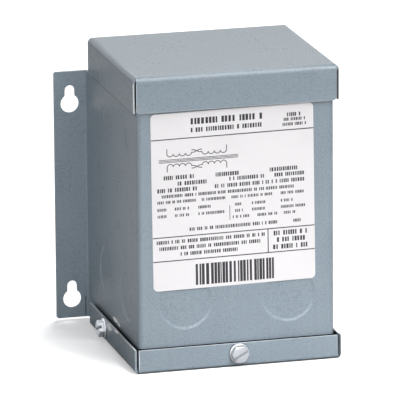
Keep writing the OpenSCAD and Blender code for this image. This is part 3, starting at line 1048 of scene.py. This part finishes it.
def row_starts(name, rows, unit=None):
    """A mesh of one point for each printed row, with the row's sizes."""
    mesh = bpy.data.meshes.new(name)
    mesh.from_pydata([(left * MM, 0.0, middle * MM) for left, _, middle, _ in rows], [], [])
    sizes = {
        "row_length": [(right - left) * MM for left, right, _, _ in rows],
        "row_height": [high * MM for *_, high in rows],
        "row_unit": [(unit or high) * MM for *_, high in rows],
    }
    for key, values in sizes.items():
        mesh.attributes.new(key, "FLOAT", "POINT").data.foreach_set("value", values)
    mesh.attributes.new("row", "INT", "POINT").data.foreach_set("value", range(len(rows)))
    return mesh


def sag(point, depth=0.10 * MM, ease=1.8 * MM):
    """How far the film gives way over the two knockouts behind its lower corners."""
    for rim in RIMS[:2]:
        inside = (rim.radius + ease / 2 - math.hypot(point.x - rim.middle.x, point.z - rim.middle.z)) / ease
        if inside > 0:
            part = min(1.0, inside)
            return depth * part * part * (3 - 2 * part)
    return 0.0


def plate_film(plate):
    """The white film, cut into a grid near its foot so that it can follow the knockouts."""
    shape = merged_copy("nameplate")
    foot, step = 7.5 * MM, 0.6 * MM
    cuts = [((0, 0, PLATE_LOW.z + step * n), (0, 0, 1)) for n in range(1, int(foot / step) + 1)]
    cuts += [
        ((PLATE_LOW.x + step * n, 0, 0), (1, 0, 0))
        for n in range(1, int((PLATE_HIGH.x - PLATE_LOW.x) / step))
    ]
    for place, across in cuts:
        bmesh.ops.bisect_plane(
            shape, geom=[*shape.verts, *shape.edges, *shape.faces], plane_co=place, plane_no=across
        )
    for vert in shape.verts:
        if vert.co.z < PLATE_LOW.z + foot:
            vert.co.y += sag(vert.co)
    mesh = bpy.data.meshes.new("nameplate_film")
    shape.to_mesh(mesh)
    shape.free()
    mesh.materials.append(film(plate))
    settle(weigh_normals(link("nameplate_film", mesh)), ["nameplate"])


def joined(name, pieces, finish):
    """One mesh object from several, in one finish."""
    shape = bmesh.new()
    for piece in pieces:
        shape.from_mesh(piece.data)
    mesh = bpy.data.meshes.new(name)
    shape.to_mesh(mesh)
    shape.free()
    mesh.materials.append(finish)
    for face in mesh.polygons:
        face.material_index = 0
    for piece in pieces:
        bpy.data.objects.remove(piece)
    return link(name, mesh)


class TRANSFORMER_OT_nameplate(bpy.types.Operator):
    """Makes the white nameplate with plain rules and bars"""

    bl_idname = "transformer.nameplate"
    bl_label = "Nameplate"

    def execute(self, context):
        plate = context.scene.transformer_plate
        plate_film(plate)
        black = ink(plate)
        common = {"Thickness": plate.ink_t, "Finish": black}
        rows, lines = row_builder(), line_builder()
        text = {"Bars": 70, "Steps": 2, "Widest": 0.46, "Space": 0.26, "Break": 0.55}
        text.update(common, Seed=plate.seed)
        tall = {**text, "Steps": 24, "Widest": 0.95, "Space": 0.62, "Break": 0.1}
        coils = winding_lines(20.5, 1) + winding_lines(14.9, -1)
        pieces = [
            rows.mesh("rows", text, row_starts("rows", PRINT_ROWS)),
            rows.mesh("bars", tall, row_starts("bars", BAR_PATTERN, BAR_UNIT)),
            lines.mesh("rules", {"Width": plate.rule_t, **common}, drawing("rules", PRINT_RULES)),
            lines.mesh("fine", {"Width": plate.rule_t * 0.6, **common}, drawing("fine", FINE_RULES)),
            lines.mesh("coils", {"Width": plate.rule_t * 0.8, **common}, drawing("coils", coils)),
        ]
        made = joined("nameplate_print", pieces, black)
        middle = (PLATE_LOW + PLATE_HIGH) / 2
        middle.y = PLATE_LOW.y - plate.ink_t * 0.3
        turn = Matrix.Rotation(-plate.tilt, 4, "Y")
        made.data.transform(Matrix.Translation(middle) @ turn)
        for vert in made.data.vertices:
            vert.co.y += sag(vert.co)
        settle(made)
        return {"FINISHED"}


class TRANSFORMER_OT_coil(bpy.types.Operator):
    """Finishes the potted core and coil inside the case"""

    bl_idname = "transformer.coil"
    bl_label = "Core and coil"

    def execute(self, context):
        coil = context.scene.transformer_coil
        wire = winding_wire(coil)
        finishes = {
            "resin_fill": potting(coil),
            "laminated_core": laminations(coil),
            "winding_bobbin": nylon(coil),
            "primary_winding": wire,
            "secondary_winding": wire,
        }
        for node, finish in finishes.items():
            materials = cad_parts[node].data.materials
            materials.clear()
            materials.append(finish)
        return {"FINISHED"}


def lamp(name, watts, place, size, aim=(0.0, 0.0, 0.06), spread=180, tall=None):
    """A soft square or tall lamp, which the camera doesn't see."""
    light = bpy.data.lights.new(name, "AREA")
    light.energy = watts
    light.shape = "RECTANGLE"
    light.size = size
    light.size_y = tall or size
    light.spread = math.radians(spread)
    made = link(name, light)
    made.visible_camera = False
    turn = (Vector(aim) - Vector(place)).to_track_quat("-Z", "Y")
    made.matrix_world = Matrix.Translation(place) @ turn.to_matrix().to_4x4()
    return made


def seen(tree):
    """One for rays from the camera, mirrors and glass, zero for light that falls on things."""
    path = tree.node("ShaderNodeLightPath").socket.node
    camera, glossy, through = (
        Wire(tree, path.outputs["Is %s Ray" % kind]) for kind in ("Camera", "Glossy", "Transmission")
    )
    return tree.clamp(camera + glossy + through)


# The camera's place, its view direction and its roll, from the photograph's perspective
CAMERA_PLACE = Vector((-0.59443, -2.21441, 0.65961))
CAMERA_AIM = Vector((0.24898, 0.93494, -0.25276))
CAMERA_ROLL = math.radians(-0.43)
FLOOR_REACH = 4.0
FLOOR_DROP = 0.02 * MM
WHITE = (1, 1, 1, 1)


def studio_world(stage):
    """Even light all round, and plain white where the camera, mirrors and glass look past the floor."""
    world = bpy.data.worlds.new("studio")
    world.use_nodes = True
    sky = Tree(world.node_tree)
    sky.data.nodes.clear()
    even = sky.node("ShaderNodeBackground", sockets={"Color": WHITE, "Strength": stage.sky})
    plain = sky.node("ShaderNodeBackground", sockets={"Color": WHITE, "Strength": 1.0})
    both = sky.node("ShaderNodeMixShader", sockets={0: seen(sky), 1: even, 2: plain})
    sky.node("ShaderNodeOutputWorld", sockets={0: both})
    return world


def studio_floor(stage):
    """A pale floor just under the part, which glows a little for the camera."""
    finish = Finish("studio_floor")
    paper = finish.mix(finish.noise(3, 2), opaque(stage.floor, 0.995), opaque(stage.floor))
    path = finish.node("ShaderNodeLightPath", output="Is Camera Ray")
    shown = finish.mix(path, opaque(stage.floor, 0.5), paper)
    matt = finish.node("ShaderNodeBsdfDiffuse", sockets={"Color": shown})
    glow = finish.node("ShaderNodeEmission", sockets={"Color": WHITE, "Strength": path * stage.glow})
    lit = finish.node("ShaderNodeAddShader", sockets={0: matt, 1: glow})
    finish.node("ShaderNodeOutputMaterial", sockets={"Surface": lit})
    mesh = bpy.data.meshes.new("floor")
    r, z = FLOOR_REACH, -FLOOR_DROP
    mesh.from_pydata([(-r, -r, z), (r, -r, z), (r, r, z), (-r, r, z)], [], [(0, 1, 2, 3)])
    mesh.materials.append(finish.material)
    floor = link("floor", mesh)
    return floor


def studio_camera(stage):
    """The camera, at the photograph's angle."""
    camera = bpy.data.cameras.new("camera")
    camera.sensor_width = 36
    camera.lens = stage.lens
    camera.clip_start, camera.clip_end = 0.05, 50
    made = link("camera", camera)
    forward = CAMERA_AIM.normalized()
    right = forward.cross(Vector((0, 0, 1))).normalized()
    up = right.cross(forward)
    c, s = math.cos(CAMERA_ROLL), math.sin(CAMERA_ROLL)
    across, above = c * right + s * up, c * up - s * right
    turn = Matrix((across, above, -forward)).transposed().to_4x4()
    made.matrix_world = Matrix.Translation(CAMERA_PLACE) @ turn
    return made


class TRANSFORMER_OT_stage(bpy.types.Operator):
    """Sets up the floor, the lamps and the camera"""

    bl_idname = "transformer.stage"
    bl_label = "Stage"

    def execute(self, context):
        scene = context.scene
        stage = scene.transformer_stage
        scene.view_settings.view_transform = "Standard"
        scene.world = studio_world(stage)
        floor = studio_floor(stage)

        lamp("front_lamp", stage.front, (-0.5, -2.0, 0.9), 1.0)
        lamp("left_lamp", stage.left, (-1.0, -1.8, 0.9), 0.7)
        lamp("strip_lamp", stage.above, (0.33, -0.58, 1.17), 0.28, tall=1.3)
        lamp("back_lamp", stage.behind, (0.3, 1.15, 1.3), 0.9)
        lamp("side_lamp", stage.side, (1.7, -0.2, 0.9), 0.9)
        lamp("pool_lamp", stage.pool, (0.1, -0.6, 0.5), 0.2, (0.02, -0.2, 0.0), 30)
        wash = lamp("floor_lamp", stage.wash, (0.36, 0.49, 1.4), 0.6)
        glint = lamp("glint_lamp", stage.glint, (-0.8, 0.1, 0.8), 0.4)
        side_screws = [scene.objects[node + "_plated"] for node in SCREWS[1:]]
        for light, things in ((wash, [floor]), (glint, side_screws)):
            lit_only = bpy.data.collections.new(light.name + "_lights")
            for thing in things:
                lit_only.objects.link(thing)
            light.light_linking.receiver_collection = lit_only

        scene.camera = studio_camera(stage)
        return {"FINISHED"}


STEPS = (
    TRANSFORMER_OT_case, TRANSFORMER_OT_covers, TRANSFORMER_OT_screws,
    TRANSFORMER_OT_nameplate, TRANSFORMER_OT_coil, TRANSFORMER_OT_stage,
)

GROUPS = {
    "transformer_sheet": SheetSettings,
    "transformer_screw": ScrewSettings,
    "transformer_plate": PlateSettings,
    "transformer_coil": CoilSettings,
    "transformer_stage": StageSettings,
}


class TRANSFORMER_PT_panel(bpy.types.Panel):
    """Lists the steps and the sizes that may be changed"""

    bl_idname = "TRANSFORMER_PT_panel"
    bl_label = "Transformer"
    bl_space_type = "VIEW_3D"
    bl_region_type = "UI"
    bl_category = "Transformer"

    def draw(self, context):
        for step in STEPS:
            self.layout.operator(step.bl_idname)
        for key, group in GROUPS.items():
            box = self.layout.box()
            box.label(text=group.__doc__)
            for name in group.__annotations__:
                box.prop(getattr(context.scene, key), name)


CLASSES = (*GROUPS.values(), *STEPS, TRANSFORMER_PT_panel)


def register():
    for each in CLASSES:
        bpy.utils.register_class(each)
    for key, group in GROUPS.items():
        setattr(bpy.types.Scene, key, PointerProperty(type=group))


def unregister():
    for key in GROUPS:
        delattr(bpy.types.Scene, key)
    for each in reversed(CLASSES):
        bpy.utils.unregister_class(each)


def main():
    register()
    steps = bpy.ops.transformer
    for step in STEPS:
        getattr(steps, step.bl_idname.split(".")[1])()


if __name__ == "__main__":
    main()
